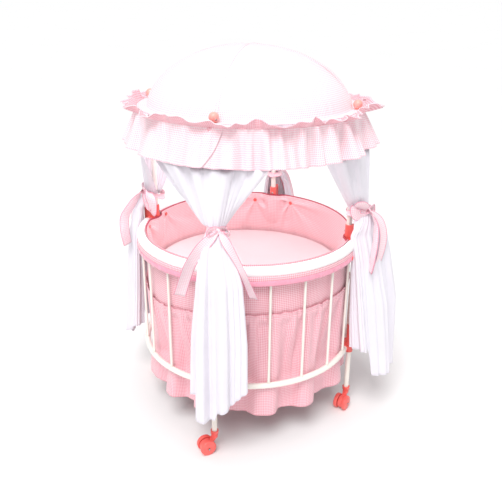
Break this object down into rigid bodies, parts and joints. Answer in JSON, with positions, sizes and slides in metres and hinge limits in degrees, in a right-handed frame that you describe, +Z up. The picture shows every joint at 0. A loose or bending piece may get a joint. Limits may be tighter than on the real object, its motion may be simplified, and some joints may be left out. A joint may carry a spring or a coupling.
{
  "type": "doll crib with canopy",
  "caption": "Round spindle-sided doll crib on twin-wheel casters, with a gingham liner and skirt, a loose mattress and a domed canopy with tied sheer curtains.",
  "frame": {"origin": "on the floor under the centre of the crib", "axes": "+Z up, -Y towards the front, +X to the right"},
  "size_m": [0.6488, 0.6488, 0.8464],
  "materials": {
    "white_steel": "gloss white enamel",
    "coral_plastic": "moulded coral plastic, soft gloss",
    "pink_gingham": "small pink and white gingham, light sheen",
    "pink_satin": "pink satin binding and ribbon",
    "magenta_piping": "deep pink corded edge",
    "white_roll": "white padded cotton",
    "sheer_white": "thin white voile with a soft sheen",
    "mattress_white": "soft pale pink-white cotton pad",
    "fibreboard": "raw hardboard",
    "axle_steel": "bright drawn steel"
  },
  "bodies": {
    "frame": {"side_panel_front": "white_steel", "leg_front": "white_steel", "canopy_pole_front": "white_steel", "rail_cuff_front": "white_roll", "lower_connector_front": "coral_plastic", "upper_connector_front": "coral_plastic", "knob_front": "coral_plastic", "caster_socket_front": "coral_plastic", "curtain_front": "sheer_white", "side_panel_right": "white_steel", "leg_right": "white_steel", "canopy_pole_right": "white_steel", "rail_cuff_right": "white_roll", "lower_connector_right": "coral_plastic", "upper_connector_right": "coral_plastic", "knob_right": "coral_plastic", "caster_socket_right": "coral_plastic", "curtain_right": "sheer_white", "side_panel_back": "white_steel", "leg_back": "white_steel", "canopy_pole_back": "white_steel", "rail_cuff_back": "white_roll", "lower_connector_back": "coral_plastic", "upper_connector_back": "coral_plastic", "knob_back": "coral_plastic", "caster_socket_back": "coral_plastic", "curtain_back": "sheer_white", "side_panel_left": "white_steel", "leg_left": "white_steel", "canopy_pole_left": "white_steel", "rail_cuff_left": "white_roll", "lower_connector_left": "coral_plastic", "upper_connector_left": "coral_plastic", "knob_left": "coral_plastic", "caster_socket_left": "coral_plastic", "curtain_left": "sheer_white", "canopy_rib_upper": "white_steel", "canopy_rib_lower": "white_steel", "canopy_cover": "pink_gingham", "canopy_valance": "pink_gingham", "liner_basin": "pink_gingham", "skirt": "pink_gingham", "base_board": "fibreboard"},
    "mattress": {"mattress": "mattress_white"},
    "caster_front": {"caster_housing_front": "coral_plastic", "axle_front": "axle_steel"},
    "wheel_front_a": {"wheel_front_a": "coral_plastic"},
    "wheel_front_b": {"wheel_front_b": "coral_plastic"},
    "caster_right": {"caster_housing_right": "coral_plastic", "axle_right": "axle_steel"},
    "wheel_right_a": {"wheel_right_a": "coral_plastic"},
    "wheel_right_b": {"wheel_right_b": "coral_plastic"},
    "caster_back": {"caster_housing_back": "coral_plastic", "axle_back": "axle_steel"},
    "wheel_back_a": {"wheel_back_a": "coral_plastic"},
    "wheel_back_b": {"wheel_back_b": "coral_plastic"},
    "caster_left": {"caster_housing_left": "coral_plastic", "axle_left": "axle_steel"},
    "wheel_left_a": {"wheel_left_a": "coral_plastic"},
    "wheel_left_b": {"wheel_left_b": "coral_plastic"}
  },
  "joints": [
    {"name": "mattress_lift", "type": "slide", "parent": "frame", "child": "mattress", "axis": [0, 0, 1], "range_m": [0, 0.08]},
    {"name": "caster_swivel_front", "type": "hinge", "parent": "frame", "child": "caster_front", "pos_m": [-0.07075, -0.24353, 0.045], "axis": [0, 0, 1], "continuous": true},
    {"name": "wheel_spin_front_a", "type": "hinge", "parent": "caster_front", "child": "wheel_front_a", "pos_m": [-0.08319, -0.26326, 0.01775], "axis": [0.4509, -0.8926, 0], "continuous": true},
    {"name": "wheel_spin_front_b", "type": "hinge", "parent": "caster_front", "child": "wheel_front_b", "pos_m": [-0.09401, -0.24184, 0.01775], "axis": [0.4509, -0.8926, 0], "continuous": true},
    {"name": "caster_swivel_right", "type": "hinge", "parent": "frame", "child": "caster_right", "pos_m": [0.24353, -0.07075, 0.045], "axis": [0, 0, 1], "continuous": true},
    {"name": "wheel_spin_right_a", "type": "hinge", "parent": "caster_right", "child": "wheel_right_a", "pos_m": [0.2425, -0.09405, 0.01775], "axis": [0.8339, -0.5519, 0], "continuous": true},
    {"name": "wheel_spin_right_b", "type": "hinge", "parent": "caster_right", "child": "wheel_right_b", "pos_m": [0.22248, -0.08081, 0.01775], "axis": [0.8339, -0.5519, 0], "continuous": true},
    {"name": "caster_swivel_back", "type": "hinge", "parent": "frame", "child": "caster_back", "pos_m": [0.07075, 0.24353, 0.045], "axis": [0, 0, 1], "continuous": true},
    {"name": "wheel_spin_back_a", "type": "hinge", "parent": "caster_back", "child": "wheel_back_a", "pos_m": [0.06525, 0.22086, 0.01775], "axis": [0.712, -0.7022, 0], "continuous": true},
    {"name": "wheel_spin_back_b", "type": "hinge", "parent": "caster_back", "child": "wheel_back_b", "pos_m": [0.04816, 0.23772, 0.01775], "axis": [0.712, -0.7022, 0], "continuous": true},
    {"name": "caster_swivel_left", "type": "hinge", "parent": "frame", "child": "caster_left", "pos_m": [-0.24353, 0.07075, 0.045], "axis": [0, 0, 1], "continuous": true},
    {"name": "wheel_spin_left_a", "type": "hinge", "parent": "caster_left", "child": "wheel_left_a", "pos_m": [-0.2315, 0.09074, 0.01775], "axis": [-0.4695, 0.8829, 0], "continuous": true},
    {"name": "wheel_spin_left_b", "type": "hinge", "parent": "caster_left", "child": "wheel_left_b", "pos_m": [-0.22024, 0.06955, 0.01775], "axis": [-0.4695, 0.8829, 0], "continuous": true}
  ]
}
